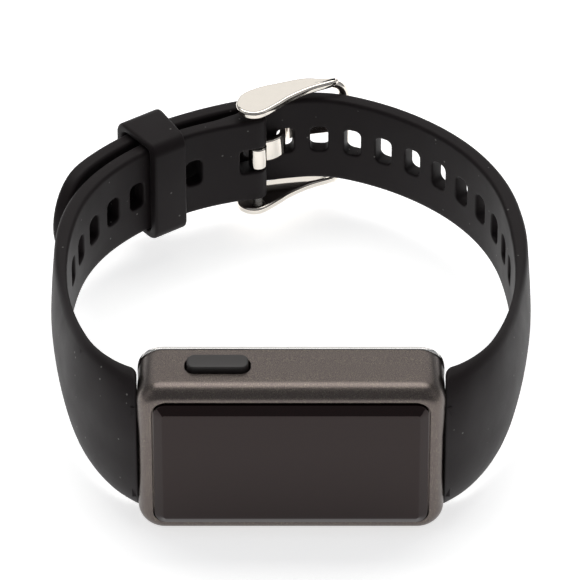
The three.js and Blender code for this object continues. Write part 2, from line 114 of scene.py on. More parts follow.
# Each half follows arcs from the case: (radius, degrees).
LONG_ARCS = [(17.5, 36), (60, 20), (70, 11), (31, 35), (36, 25), (15, 27)]
SHORT_ARCS = [(17.5, 36), (60, 20), (52, 12), (25, 28), (33, 30), (45, 8.5)]
KEEPER_ARC = 4
FREE_END = {"gap": 1.0, "leaves": 152, "ends": 111, "bridge": 7}
HOLES = {"before_prong": 10, "after_prong": 1, "short_count": 7, "short_last_to_end": 9.8}
EDGE_CORNER = 0.9
# Near the case the inner rim is sharper, and the rims of the end itself are the smallest.
RIM = {"outer": 0.7, "inner": 0.6, "sharper": 0.25, "sharper_until": (6, 34), "end": 0.2}
# Near the case the strap is crowned: thick in the middle and thin at its long edges. Over its swing
# the section turns square to the case, and its end lies a little closer to it.
CROWN = {"edge": 0.55, "reach": 9.0, "full_until": 22, "gone_by": 42, "swing": 13.5, "closer": 0.22}
SPRING_BAR = {"x": 19.3, "y": 5.0}
TONGUE = {"radius": 1.7, "half_width": 8.0, "overlap": 0.6}

PIN = {"x": -4.9, "y": 71.4, "loop_thickness": 3.3}
NOSE = {"wrap_degrees": 80, "slot_depth": 2.6, "slot_gap": 0.3, "rim": 0.32}
KEEPER = {"heading": 145.9, "length": 6.2, "wall": 1.6, "gap": 0.25, "play": 0.35, "half_width": 8.7,
          "corner": 0.8, "rim": 0.5}
BUCKLE = {"top": 9.45, "arm_thickness": 1.2, "arm_rim": 0.42, "elbow_radius": 0.6, "bar_x": 7.0,
          "bar_radius": 0.85, "bar_gap": 0.2}
# The arm's leaf outline, from its round end along the inner edge to the elbow and back.
ARM_OUTLINE = [(-8.05, 71.6), (-7.55, 70.0), (-6.0, 69.05), (-4.1, 69.4), (-1.6, 71.6), (0, 73.2),
               (2.8, 75.2), (5.4, 76.45), (6.6, 77.05), (7.0, 77.6), (6.4, 77.95), (4.4, 77.85),
               (2.8, 78.0), (1.2, 77.8), (-2.3, 76.65), (-4.3, 75.95), (-6.2, 74.9), (-7.5, 73.6)]
PRONG = {"hole_x": -0.8, "width": 3.6, "thickness": 0.9, "taper": 0.35, "tip": 1.1, "roll_radius": 1.1,
         "roll_thickness": 0.5, "roll_from": 378, "roll_turn": 280}
PRONG_SHAFT = [(-3.9, 72.65), (-2.5, 73.25), (-1.35, 74.6), (-1.1, 76.9), (0.4, 78.4), (4.6, 79.1),
               (7.2, 79.45)]

# Metres.
FLOOR_HALF, FLOOR_HEIGHT = 3.0, -0.0004


# ---------- mesh helpers

def shade(obj, sharp_degrees):
    """Smooth shading, with sharp edges where faces meet at more than an angle."""
    obj.data.shade_smooth()
    obj.data.set_sharp_from_angle(angle=math.radians(sharp_degrees))


def new_object(name, vertices, faces, material, sharp_degrees=40):
    mesh = bpy.data.meshes.new(name)
    mesh.from_pydata([tuple(v) for v in vertices], [], faces)
    mesh.validate()
    working = bmesh.new()
    working.from_mesh(mesh)
    bmesh.ops.remove_doubles(working, verts=working.verts, dist=1e-7)
    bmesh.ops.recalc_face_normals(working, faces=working.faces)
    working.to_mesh(mesh)
    working.free()
    mesh.materials.append(material)
    obj = bpy.data.objects.new(name, mesh)
    bpy.context.scene.collection.objects.link(obj)
    shade(obj, sharp_degrees)
    return obj


def cut(obj, cutters, operation="DIFFERENCE"):
    for cutter in cutters:
        modifier = obj.modifiers.new("cut", "BOOLEAN")
        modifier.operation = operation
        modifier.solver = "EXACT"
        modifier.object = cutter
        bpy.context.view_layer.update()
        evaluated = obj.evaluated_get(bpy.context.evaluated_depsgraph_get())
        mesh = bpy.data.meshes.new_from_object(evaluated)
        obj.modifiers.clear()
        obj.data = mesh
        bpy.data.objects.remove(cutter)


def rounded_rectangle(length, width, corner, corner_steps=8, centre=(0.0, 0.0)):
    """Corner points of a rectangle with round corners, anticlockwise."""
    points = []
    for turn, (sx, sy) in enumerate([(1, -1), (1, 1), (-1, 1), (-1, -1)]):
        cx = centre[0] + sx * (length / 2 - corner)
        cy = centre[1] + sy * (width / 2 - corner)
        for k in range(corner_steps + 1):
            a = math.radians(90 * (turn - 1) + 90 * k / corner_steps)
            points.append((cx + corner * math.cos(a), cy + corner * math.sin(a)))
    return points


def bridge_rings(count, size, closed=False):
    """Quads between rings of the same size that follow each other."""
    faces = []
    for k in range(count if closed else count - 1):
        a, b = k * size, ((k + 1) % count) * size
        faces += [(a + i, a + (i + 1) % size, b + (i + 1) % size, b + i) for i in range(size)]
    return faces


def swept(name, sections, material, closed=False, sharp_degrees=50):
    """A solid through a list of sections, each a closed list of points in metres."""
    vertices = [point for section in sections for point in section]
    size = len(sections[0])
    faces = bridge_rings(len(sections), size, closed)
    if not closed:
        faces.append(tuple(reversed(range(size))))
        faces.append(tuple(range(len(vertices) - size, len(vertices))))
    return new_object(name, vertices, faces, material, sharp_degrees)


def ring_stack(name, rings, material, closed=False, sharp_degrees=40, corner_steps=8):
    """A solid from rounded rectangles in X and Z at given depths: (length, width, corner, depth)."""
    sections = []
    for length, width, corner, depth in rings:
        outline = rounded_rectangle(length, width, max(corner, 0.02), corner_steps)
        sections.append([place(x, depth, z) for x, z in outline])
    return swept(name, sections, material, closed, sharp_degrees)


def quarter(radius, steps=6):
    """(inset, drop) pairs round a quarter circle, from the side to the face."""
    angles = [math.pi / 2 * k / steps for k in range(steps + 1)]
    return [(radius * (1 - math.cos(a)), radius * (1 - math.sin(a))) for a in angles]


def smoothstep(x, low=0.0, high=1.0):
    t = min(max((x - low) / (high - low), 0.0), 1.0)
    return t * t * (3 - 2 * t)


# ---------- routes of the strap halves

class Route:
    """A line in plan: at(s) gives its point and its heading in radians."""

    def __init__(self, points):
        self.points = points
        self.s = [0.0]
        for a, b in zip(points, points[1:]):
            self.s.append(self.s[-1] + math.dist(a[:2], b[:2]))
        self.length = self.s[-1]

    def at(self, s):
        s = min(max(s, 0.0), self.length)
        k = min(int(np.searchsorted(self.s, s, side="right")), len(self.s) - 1)
        f = (s - self.s[k - 1]) / max(self.s[k] - self.s[k - 1], 1e-9)
        return tuple(u + (v - u) * f for u, v in zip(self.points[k - 1], self.points[k]))

    def crossing(self, x):
        """The distance at which the line passes x on its way back to the left."""
        for k in range(1, len(self.points)):
            a, b = self.points[k - 1], self.points[k]
            if b[0] <= x < a[0]:
                return self.s[k - 1] + (a[0] - x) / (a[0] - b[0]) * (self.s[k] - self.s[k - 1])
        raise ValueError("the route doesn't pass there")


def arc_points(start, heading, arcs, step_degrees=1.0):
    points = [(start[0], start[1], heading)]
    centres = []
    for radius, degrees in arcs:
        x, y, h = points[-1]
        cx, cy = x - radius * math.sin(h), y + radius * math.cos(h)
        centres.append((cx, cy))
        steps = max(3, math.ceil(degrees / step_degrees))
        for k in range(1, steps + 1):
            a = h + math.radians(degrees) * k / steps
            points.append((cx + radius * math.sin(a), cy - radius * math.cos(a), a))
    return points, centres


def bezier(p0, p1, p2, p3, steps):
    points = []
    for k in range(1, steps):
        t = k / steps
        w = ((1 - t) ** 3, 3 * t * (1 - t) ** 2, 3 * t * t * (1 - t), t ** 3)
        d = (-3 * (1 - t) ** 2, 3 * (1 - t) ** 2 - 6 * t * (1 - t), 6 * t * (1 - t) - 3 * t * t, 3 * t * t)
        x, y = (sum(c * p[i] for c, p in zip(w, (p0, p1, p2, p3))) for i in (0, 1))
        dx, dy = (sum(c * p[i] for c, p in zip(d, (p0, p1, p2, p3))) for i in (0, 1))
        points.append((x, y, math.atan2(dy, dx)))
    return points


def unwrapped(points):
    """The same points, with headings that never jump by a full turn."""
    result = [points[0]]
    for x, y, heading in points[1:]:
        last = result[-1][2]
        result.append((x, y, heading + 2 * math.pi * round((last - heading) / (2 * math.pi))))
    return result


START = (STRAP["start_x"], STRAP["inner_y"])
START_HEADING = math.radians(STRAP["heading"])
short_right, short_centres = arc_points(START, START_HEADING, SHORT_ARCS)
short_route = Route([(-x, y, math.pi - h) for x, y, h in short_right])


def long_route_points():
    start, _ = arc_points(START, START_HEADING, LONG_ARCS)
    clear = STRAP["thin"] + FREE_END["gap"]
    low, high = math.radians(FREE_END["ends"]), math.radians(FREE_END["leaves"])
    under = [(x, y, h) for x, y, h in short_right if low <= h <= high]
    lying = [(-x - math.sin(h) * clear, y - math.cos(h) * clear, 2 * math.pi - h)
             for x, y, h in reversed(under)]
    a, b = start[-1], lying[0]
    reach = FREE_END["bridge"]
    p1 = (a[0] + reach * math.cos(a[2]), a[1] + reach * math.sin(a[2]))
    p2 = (b[0] - reach * math.cos(b[2]), b[1] - reach * math.sin(b[2]))
    return unwrapped(start + bezier(a, p1, p2, b, 24) + lying)


long_route = Route(long_route_points())
bar_at = long_route.at(long_route.crossing(BUCKLE["bar_x"]))
bar_away = STRAP["thin"] + BUCKLE["bar_gap"] + BUCKLE["bar_radius"]
BAR = (bar_at[0] + math.sin(bar_at[2]) * bar_away, bar_at[1] - math.cos(bar_at[2]) * bar_away)


# ---------- materials

def make_material(name):
    material = bpy.data.materials.new(name)
    material.use_nodes = True
    tree = material.node_tree
    shader = tree.nodes["Principled BSDF"]
    coordinates = tree.nodes.new("ShaderNodeTexCoord")
    return material, tree, shader, coordinates.outputs["Object"]


def noise(tree, vector, scale, detail=3.0, roughness=0.5):
    node = tree.nodes.new("ShaderNodeTexNoise")
    node.inputs["Scale"].default_value = scale
    node.inputs["Detail"].default_value = detail
    node.inputs["Roughness"].default_value = roughness
    tree.links.new(vector, node.inputs["Vector"])
    return node.outputs["Fac"]


def remap(tree, value, low, high, to_low, to_high):
    node = tree.nodes.new("ShaderNodeMapRange")
    tree.links.new(value, node.inputs["Value"])
    for key, number in (("From Min", low), ("From Max", high), ("To Min", to_low), ("To Max", to_high)):
        node.inputs[key].default_value = number
    return node.outputs["Result"]


def colour_mix(tree, factor, first, second):
    node = tree.nodes.new("ShaderNodeMix")
    node.data_type = "RGBA"
    tree.links.new(factor, node.inputs["Factor"])
    for socket, colour in (("A", first), ("B", second)):
        target = [s for s in node.inputs if s.name == socket and s.type == "RGBA"][0]
        if isinstance(colour, tuple):
            target.default_value = (*colour, 1.0)
        else:
            tree.links.new(colour, target)
    return [s for s in node.outputs if s.type == "RGBA"][0]


def bump(tree, shader, height, strength, distance, below=None):
    node = tree.nodes.new("ShaderNodeBump")
    node.inputs["Strength"].default_value = strength
    node.inputs["Distance"].default_value = distance
    tree.links.new(height, node.inputs["Height"])
    if below is not None:
        tree.links.new(below, node.inputs["Normal"])
    tree.links.new(node.outputs["Normal"], shader.inputs["Normal"])
    return node.outputs["Normal"]


def specks(tree, vector, scale, size, share=0.14):
    """1 inside small spots, which only a share of the cells have, and 0 elsewhere."""
    cells = tree.nodes.new("ShaderNodeTexVoronoi")
    cells.inputs["Scale"].default_value = scale
    tree.links.new(vector, cells.inputs["Vector"])
    spot = remap(tree, cells.outputs["Distance"], size, size * 0.5, 0.0, 1.0)
    chosen = tree.nodes.new("ShaderNodeSeparateColor")
    tree.links.new(cells.outputs["Color"], chosen.inputs["Color"])
    kept = tree.nodes.new("ShaderNodeMath")
    kept.operation = "GREATER_THAN"
    kept.inputs[1].default_value = 1 - share
    tree.links.new(chosen.outputs["Red"], kept.inputs[0])
    both = tree.nodes.new("ShaderNodeMath")
    both.operation = "MULTIPLY"
    both.use_clamp = True
    tree.links.new(spot, both.inputs[0])
    tree.links.new(kept.outputs[0], both.inputs[1])
    return both.outputs[0]


def vary(tree, shader, factor, first, second, low, high, metallic=0.0):
    """Base colour from the first to the second, and roughness from low to high, with the factor."""
    shader.inputs["Metallic"].default_value = metallic
    tree.links.new(colour_mix(tree, factor, first, second), shader.inputs["Base Color"])
    tree.links.new(remap(tree, factor, 0.3, 0.7, low, high), shader.inputs["Roughness"])


def silicone_material():
    material, tree, shader, vector = make_material("silicone")
    mottling = noise(tree, vector, 140, 4, 0.6)
    base = colour_mix(tree, mottling, (0.0095, 0.0064, 0.007), (0.015, 0.0113, 0.0121))
    dust = specks(tree, vector, 800, 0.15)
    tree.links.new(colour_mix(tree, dust, base, (0.12, 0.115, 0.11)), shader.inputs["Base Color"])
    tree.links.new(remap(tree, mottling, 0.3, 0.7, 0.46, 0.56), shader.inputs["Roughness"])
    shader.inputs["Specular IOR Level"].default_value = 0.13
    shader.inputs["Sheen Weight"].default_value = 0.03
    shader.inputs["Sheen Roughness"].default_value = 0.5
    waves = bump(tree, shader, noise(tree, vector, 220, 2), 0.12, 0.0002)
    bump(tree, shader, noise(tree, vector, 5200, 3, 0.6), 0.22, 0.00003, waves)
    return material


def case_metal_material():
    material, tree, shader, vector = make_material("case_metal")
    grain = noise(tree, vector, 11000, 2, 0.6)
    patches = noise(tree, vector, 260, 3)
    base = colour_mix(tree, patches, (0.112, 0.093, 0.09), (0.132, 0.11, 0.105))
    sparkle = remap(tree, grain, 0.56, 0.7, 0.0, 1.0)
    tree.links.new(colour_mix(tree, sparkle, base, (0.33, 0.3, 0.22)), shader.inputs["Base Color"])
    shader.inputs["Metallic"].default_value = 1.0
    tree.links.new(remap(tree, grain, 0.3, 0.7, 0.26, 0.36), shader.inputs["Roughness"])
    bump(tree, shader, grain, 0.3, 0.00002)
    return material


def polished_material(name, colour, roughness):
    material, tree, shader, vector = make_material(name)
    streaks = noise(tree, vector, 900, 4, 0.65)
    vary(tree, shader, streaks, tuple(0.93 * c for c in colour), colour, roughness, roughness * 1.5, 1.0)
    bump(tree, shader, noise(tree, vector, 1500, 3), 0.03, 0.00002)
    return material


def turned_steel_material():
    material, tree, shader, vector = make_material("steel")
    rings = noise(tree, vector, 3000, 3)
    vary(tree, shader, rings, (0.42, 0.42, 0.42), (0.56, 0.56, 0.55), 0.22, 0.36, 1.0)
    bump(tree, shader, rings, 0.1, 0.00003)
    return material


def dark_glass_material(name, colour):
    material, tree, shader, vector = make_material(name)
    haze = noise(tree, vector, 60, 3)
    vary(tree, shader, haze, colour, tuple(1.25 * c for c in colour), 0.02, 0.045)
    shader.inputs["IOR"].default_value = 1.42
    shader.inputs["Specular Tint"].default_value = (1.0, 0.84, 0.82, 1.0)
    return material


def plastic_material(name, colour, roughness):
    material, tree, shader, vector = make_material(name)
    grain = noise(tree, vector, 6000, 3, 0.6)
    vary(tree, shader, grain, colour, tuple(1.3 * c for c in colour), roughness, roughness * 1.2)
    bump(tree, shader, grain, 0.15, 0.00002)
    return material


MATERIALS = {
    "silicone": silicone_material(),
    "case_metal": case_metal_material(),
    "chrome_trim": polished_material("chrome_trim", (0.86, 0.85, 0.83), 0.06),
    "polished_steel": polished_material("polished_steel", (0.83, 0.78, 0.71), 0.07),
    "steel": turned_steel_material(),
    "display_glass": dark_glass_material("display_glass", (0.0042, 0.001, 0.001)),
    "sensor_glass": dark_glass_material("sensor_glass", (0.004, 0.004, 0.005)),
    "black_plastic": plastic_material("black_plastic", (0.019, 0.0155, 0.015), 0.4),
    "display_stack": plastic_material("display_stack", (0.006, 0.006, 0.008), 0.2),
    "circuit_board": plastic_material("circuit_board", (0.01, 0.09, 0.035), 0.4),
    "battery_foil": polished_material("battery_foil", (0.5, 0.51, 0.53), 0.3),
    "gold_plate": polished_material("gold_plate", (0.86, 0.62, 0.25), 0.14),
}


# ---------- moulded silicone sheets

def inward_normals(loop):
    """Unit normals into the material of a closed loop that keeps the material on its left."""
    normals = []
    for before, after in zip(loop[-1:] + loop[:-1], loop[1:] + loop[:1]):
        dx, dy = after[0] - before[0], after[1] - before[1]
        length = math.hypot(dx, dy)
        normals.append((-dy / length, dx / length))
    return normals


def resampled(line, spacing, closed=True):
    """The same line with extra points on its long stretches. Extra values are mixed too."""
    ahead = line[1:] + line[:1] if closed else line[1:]
    result = []
    for a, b in zip(line, ahead):
        pieces = max(1, round(math.dist(a[:2], b[:2]) / spacing))
        for k in range(pieces):
            f = k / pieces
            result.append(tuple(u + (v - u) * f for u, v in zip(a, b)))
    return result


# (degrees round the rim, flat margin past it)
RIM_STEPS = ((0, 0.0), (22.5, 0.0), (45, 0.0), (67.5, 0.0), (90, 0.0), (90, 0.22))


def rim_ring(loop, normals, radius_index, degrees, margin):
    """A loop moved inwards along a rounded rim: its points and how far each lies under the face."""
    a = math.radians(degrees)
    ring = []
    for point, normal in zip(loop, normals):
        radius = point[radius_index]
        inset = radius * (1 - math.cos(a)) + margin
        drop = radius * (1 - math.sin(a))
        ring.append((point[0] + normal[0] * inset, point[1] + normal[1] * inset, drop))
    return ring


def inside(points, loop):
    """Which points lie inside a closed loop."""
    px, py = points[:, 0], points[:, 1]
    result = np.zeros(len(points), bool)
    for a, b in zip(loop, loop[1:] + loop[:1]):
        crosses = (a[1] > py) != (b[1] > py)
        with np.errstate(divide="ignore", invalid="ignore"):
            at_x = a[0] + (py - a[1]) / (b[1] - a[1]) * (b[0] - a[0])
        result ^= crosses & (px < at_x)
    return result


def far_from(points, loop, distance):
    corners = np.array([p[:2] for p in loop])
    apart = np.min(np.linalg.norm(points[:, None, :] - corners[None, :, :], axis=2), axis=1)
    return apart > distance


def filled(loops, spacing):
    """Triangles inside the first loop and outside the others, on a grid of the given spacing."""
    outer = np.array([p[:2] for p in loops[0]])
    low, high = outer.min(0), outer.max(0)
    columns = np.arange(low[0], high[0], spacing)
    rows = np.arange(low[1] + spacing / 2, high[1], spacing)
    grid = np.array([(x, y) for x in columns for y in rows])
    clear = spacing * 0.55
    keep = inside(grid, loops[0]) & far_from(grid, loops[0], clear)
    for loop in loops[1:]:
        keep &= ~inside(grid, loop) & far_from(grid, loop, clear)
    points, edges = [], []
    for loop in loops:
        first = len(points)
        points += [Vector(p[:2]) for p in loop]
        edges += [(first + k, first + (k + 1) % len(loop)) for k in range(len(loop))]
    boundary = len(points)
    points += [Vector(p) for p in grid[keep]]
    out = delaunay_2d_cdt(points, edges, [], 0, 1e-6)
    flat, triangles = out[0], [tuple(face) for face in out[2]]
    centres = np.array([sum((flat[i] for i in face), Vector((0, 0))) / 3 for face in triangles])
    wanted = inside(centres, loops[0])
    for loop in loops[1:]:
        wanted &= ~inside(centres, loop)
    if len(flat) != len(points):
        raise ValueError("the outline crosses itself")
    return [tuple(p) for p in flat[boundary:]], [t for t, w in zip(triangles, wanted) if w]


def moulded_sheet(name, loops, place_point, thickness_at, material, spacing=0.9):
    """A closed sheet with round rims. A loop point is (s, z, outer rim radius, inner rim radius), the
    outline first and then the holes, each with the material on its left. place_point takes
    (s, z, height above the inner face) and thickness_at takes s."""
    normals = [inward_normals(loop) for loop in loops]
    vertices, faces, rim_starts = [], [], []
    for outer_face, radius_index in ((True, 2), (False, 3)):
        face_loops, face_index, starts = [], [], []
        for loop, normal in zip(loops, normals):
            size = len(loop)
            starts.append(len(vertices))
            for degrees, margin in RIM_STEPS:
                ring = rim_ring(loop, normal, radius_index, degrees, margin)
                vertices += [place_point(s, z, thickness_at(s) - drop if outer_face else drop)
                             for s, z, drop in ring]
            faces += [tuple(starts[-1] + i for i in face) for face in bridge_rings(len(RIM_STEPS), size)]
            face_loops.append(ring)
            face_index += range(len(vertices) - size, len(vertices))
        interior, triangles = filled(face_loops, spacing)
        face_index += range(len(vertices), len(vertices) + len(interior))
        vertices += [place_point(s, z, thickness_at(s) if outer_face else 0.0) for s, z in interior]
        faces += [tuple(face_index[i] for i in triangle) for triangle in triangles]
        rim_starts.append(starts)
    for loop, a, b in zip(loops, *rim_starts):
        n = len(loop)
        faces += [(a + k, a + (k + 1) % n, b + (k + 1) % n, b + k) for k in range(n)]
    return new_object(name, vertices, faces, material, sharp_degrees=75)


def strap_thickness(s):
    return STRAP["thin"] + STRAP["extra"] * math.exp(-s / STRAP["fade"])


def strap_width(y):
    share = smoothstep(y, STRAP["taper_from"], STRAP["taper_to"])
    return STRAP["wide"] + (STRAP["narrow"] - STRAP["wide"]) * share


def crown(s, z, half, thick):
    """How much of its full thickness the strap has, at a height z above or below its middle."""
    amount = 1 - smoothstep(s, CROWN["full_until"], CROWN["gone_by"])
    u = min(max((abs(z) - half + CROWN["reach"]) / CROWN["reach"], 0.0), 1.0)
    return 1 - amount * (1 - CROWN["edge"] / thick) * (1 - math.sqrt(1 - u * u))


def strap_placer(route, side, thickness):
    """place_point for a strap half. Near the case the section swings to stand square to the case."""
    square = Vector((0.0, STRAP["outer_y"] - STRAP["inner_y"]))

    def place_point(s, z, height):
        x, y, heading = route.at(s)
        thick = thickness(s)
        away = Vector((math.sin(heading), -math.cos(heading))) * side * thick
        ruling = square.lerp(away, smoothstep(s, 0, CROWN["swing"]))
        share = crown(s, z, strap_width(y) / 2, thick)
        spot = Vector((x, y)) + ruling * (height / thick * share)
        spot.x -= math.copysign(CROWN["closer"] * (1 - smoothstep(s, 0, 4)), x)
        return place(spot.x, spot.y, z)

    return place_point


def rim_radii(s):
    """Rim radii of the outer and inner long edges."""
    return RIM["outer"], RIM["inner"] - RIM["sharper"] * (1 - smoothstep(s, *RIM["sharper_until"]))


def strap_side(route, from_s, to_s, sign, spacing=1.0):
    count = max(2, round(abs(to_s - from_s) / spacing))
    points = []
    for k in range(count + 1):
        s = from_s + (to_s - from_s) * k / count
        points.append((s, sign * strap_width(route.at(s)[1]) / 2, *rim_radii(s)))
    return points


def case_end(route, corner=EDGE_CORNER, steps=5):
    """The strap's end at the case, from the upper corner down to the lower one."""
    half = strap_width(route.at(0)[1]) / 2
    outer, inner = rim_radii(corner)
    points = []
    for sign in (1, -1):
        for k in range(steps + 1):
            f = k / steps if sign > 0 else 1 - k / steps
            a = math.radians(90 * f)
            points.append((corner * (1 - math.sin(a)), sign * (half - corner * (1 - math.cos(a))),
                           outer + (RIM["end"] - outer) * f, inner + (RIM["end"] - inner) * f))
    return resampled(points, 0.9, closed=False) + points[-1:]


def hole_loop(s, rim=0.28):
    """A hole's edge, clockwise, so that the material is on its left."""
    outline = rounded_rectangle(STRAP["hole_length"], STRAP["hole_width"], STRAP["hole_corner"], 5, (s, 0.0))
    return [(x, y, rim, rim) for x, y in reversed(resampled(outline, 0.6))]


def add_tongue(obj, side):
    """Adds the strap's tongue inside the case end, round the spring bar, to an object's mesh."""
    x, y = side * SPRING_BAR["x"], SPRING_BAR["y"]
    radius, half_width = TONGUE["radius"], TONGUE["half_width"]
    root = side * (STRAP["start_x"] + TONGUE["overlap"])
    outline = [(root, y + radius)]
    for k in range(11):
        a = math.pi * k / 10
        outline.append((x - side * radius * math.sin(a), y + radius * math.cos(a)))
    outline.append((root, y - radius))
    working = bmesh.new()
    working.from_mesh(obj.data)
    low = [working.verts.new(place(u, v, -half_width)) for u, v in outline]
    high = [working.verts.new(place(u, v, half_width)) for u, v in outline]
    made = [working.faces.new(low), working.faces.new(high)]
    for k in range(len(outline)):
        n = (k + 1) % len(outline)
        made.append(working.faces.new((low[k], low[n], high[n], high[k])))
    bmesh.ops.recalc_face_normals(working, faces=made)
    working.to_mesh(obj.data)
    working.free()


def strap_outline(route, straight_until, ending):
    """Both long edges and the case end, joined by the given far end. Repeated points are left out."""
    lower = strap_side(route, EDGE_CORNER, straight_until, -1)
    upper = strap_side(route, straight_until, EDGE_CORNER, 1)
    outline = lower + ending + upper[:-1] + case_end(route)[:-1]
    return [p for k, p in enumerate(outline) if math.dist(p[:2], outline[k - 1][:2]) > 1e-6]


def make_long_strap():
    route = long_route
    radius = STRAP["narrow"] / 2
    tip_from = route.length - radius
    tip = []
    for k in range(1, 24):
        a = math.radians(-90 + 180 * k / 24)
        tip.append((tip_from + radius * math.cos(a), radius * math.sin(a), RIM["outer"], RIM["inner"]))
    first = route.crossing(PRONG["hole_x"]) - HOLES["before_prong"] * STRAP["pitch"]
    count = HOLES["before_prong"] + 1 + HOLES["after_prong"]
    holes = [hole_loop(first + k * STRAP["pitch"]) for k in range(count)]
    obj = moulded_sheet("long_strap_silicone", [strap_outline(route, tip_from, tip), *holes],
                        strap_placer(route, 1, strap_thickness), strap_thickness, MATERIALS["silicone"])
    add_tongue(obj, 1)
    return obj


def short_thickness(s):
    """The short half thickens at its end, round the buckle pin."""
    grown = smoothstep(s, short_route.length - 6.5, short_route.length - 0.5)
    return strap_thickness(s) + (PIN["loop_thickness"] - STRAP["thin"]) * grown


def rounded_corners(corners, steps=5):
    """An open line with its corners rounded: corners are (x, y, radius)."""
    points = []
    for k, (x, y, radius) in enumerate(corners):
        if radius == 0:
            points.append((x, y))
            continue
        spot = Vector((x, y))
        back = (Vector(corners[k - 1][:2]) - spot).normalized() * radius
        ahead = (Vector(corners[k + 1][:2]) - spot).normalized() * radius
        for i in range(steps + 1):
            a = math.radians(90 * i / steps)
            points.append(tuple(spot + back * (1 - math.sin(a)) + ahead * (1 - math.cos(a))))
    return points


def make_short_strap():
    """Its flat layout goes on past the pin, and that part wraps round the end as a round nose."""
    reach = short_route.length
    nose = PIN["loop_thickness"] / 2
    last = short_route.points[-1]
    ahead = (nose * math.cos(last[2]), nose * math.sin(last[2]), 0)
    route = Route([*short_route.points, tuple(u + v for u, v in zip(last, ahead))])
    end = reach + nose * math.radians(NOSE["wrap_degrees"])
    slot_half = PRONG["width"] / 2 + NOSE["slot_gap"]
    slot_from = reach - NOSE["slot_depth"]
    half = STRAP["narrow"] / 2
    rim = NOSE["rim"]
    lower_end = rounded_corners([(reach - 2.5, -half, 0), (end, -half, EDGE_CORNER), (end, -slot_half, 0.7),
                                 (slot_from, -slot_half, 0.7), (slot_from, 0, 0)])
    ending = lower_end + [(s, -z) for s, z in reversed(lower_end[:-1])]
    ending = [(s, z, rim, rim) if abs(z) < half - 0.01 or s > reach - 2 else (s, z, *rim_radii(s))
              for s, z in ending]
    outline = strap_outline(route, reach - 3, resampled(ending, 0.6, closed=False))
    holes = [hole_loop(reach - HOLES["short_last_to_end"] - k * STRAP["pitch"])
             for k in range(HOLES["short_count"])]
    # On the left half the route runs clockwise, so outwards is on its left.
    flat_place = strap_placer(route, -1, short_thickness)

    def wrapped(s, z, height):
        if s <= reach:
            return flat_place(s, z, height)
        turn = (s - reach) / nose
        return flat_place(reach + nose * math.sin(turn), z, nose + (height - nose) * math.cos(turn))

    obj = moulded_sheet("short_strap_silicone", [outline, *holes], wrapped, short_thickness,
                        MATERIALS["silicone"], 0.7)
    add_tongue(obj, -1)
    return obj


# ---------- keeper, buckle, prong

def make_keeper():
    centre_x = -short_centres[KEEPER_ARC][0]
    centre_y = short_centres[KEEPER_ARC][1]
    bend = SHORT_ARCS[KEEPER_ARC][0]
    end = KEEPER["length"] / 2
    middle = math.pi - math.radians(KEEPER["heading"] - 90)
    half_angle = end / (bend + STRAP["thin"])
    inner_low = bend - KEEPER["gap"]
    inner_high = bend + 2 * STRAP["thin"] + FREE_END["gap"] + KEEPER["play"]
    inner_half = STRAP["narrow"] / 2 + KEEPER["gap"]

    def section(grow, along):
        """The loop's outline, grown sideways from its hollow, at a distance along its length."""
        depth = inner_high - inner_low + 2 * grow
        width = 2 * inner_half + 2 * grow * (KEEPER["half_width"] - inner_half) / KEEPER["wall"]
        angle = middle + half_angle * along / end
        ring = []
        for r, z in rounded_rectangle(depth, width, KEEPER["corner"] + grow * 0.75, 7):
            reach = (inner_low + inner_high) / 2 + r
            ring.append(place(centre_x + reach * math.cos(angle), centre_y + reach * math.sin(angle), z))
        return ring

    steps = quarter(KEEPER["rim"], 5)
    # From the hollow, round its rim to the end face, and round the outer rim to the outside.
    way = [(inset, end - drop) for inset, drop in steps]
    way += [(KEEPER["wall"] - inset, end - drop) for inset, drop in reversed(steps)]
    sections = [section(grow, -along) for grow, along in way]
    sections += [section(grow, along) for grow, along in reversed(way)]
    return swept("keeper_silicone", sections, MATERIALS["silicone"], closed=True)


def spline(points, per_span=8, closed=False):
    """Catmull-Rom points through a list of points of any dimension."""
    count = len(points)
    result = []
    for k in range(count if closed else count - 1):
        around = [k + j - 1 for j in range(4)]
        if closed:
            p = [points[i % count] for i in around]
        else:
            p = [points[min(max(i, 0), count - 1)] for i in around]
        for i in range(per_span):
            t = i / per_span
            result.append(tuple(0.5 * (2 * b + (c - a) * t + (2 * a - 5 * b + 4 * c - d) * t * t
                                       + (3 * b - a - 3 * c + d) * t ** 3)
                                for a, b, c, d in zip(*p)))
    if not closed:
        result.append(tuple(points[-1]))
    return result


def buckle_arm(sign):
    outline = spline(ARM_OUTLINE, 8, closed=True)
    normals = inward_normals(outline)
    top, bottom, rim = BUCKLE["top"], BUCKLE["top"] - BUCKLE["arm_thickness"], BUCKLE["arm_rim"]
    flat_from = rim + 0.25
    steps = quarter(rim, 5)
    levels = [(flat_from, bottom)]
    levels += [(inset, bottom + drop) for inset, drop in reversed(steps)]
    levels += [(inset, top - drop) for inset, drop in steps]
    levels.append((flat_from, top))
    sections = [[place(x + nx * inset, y + ny * inset, sign * height)
                 for (x, y), (nx, ny) in zip(outline, normals)] for inset, height in levels]
    return swept("arm", sections, MATERIALS["polished_steel"], sharp_degrees=60)


def across(points):
    """For each point of a 3-D line: two directions across it, without twist."""
    tangents = []
    for k in range(len(points)):
        a, b = points[max(k - 1, 0)], points[min(k + 1, len(points) - 1)]
        tangents.append((Vector(b) - Vector(a)).normalized())
    side = tangents[0].orthogonal().normalized()
    frames = []
    for tangent in tangents:
        side = (side - tangent * side.dot(tangent)).normalized()
        frames.append((side, tangent.cross(side)))
    return frames


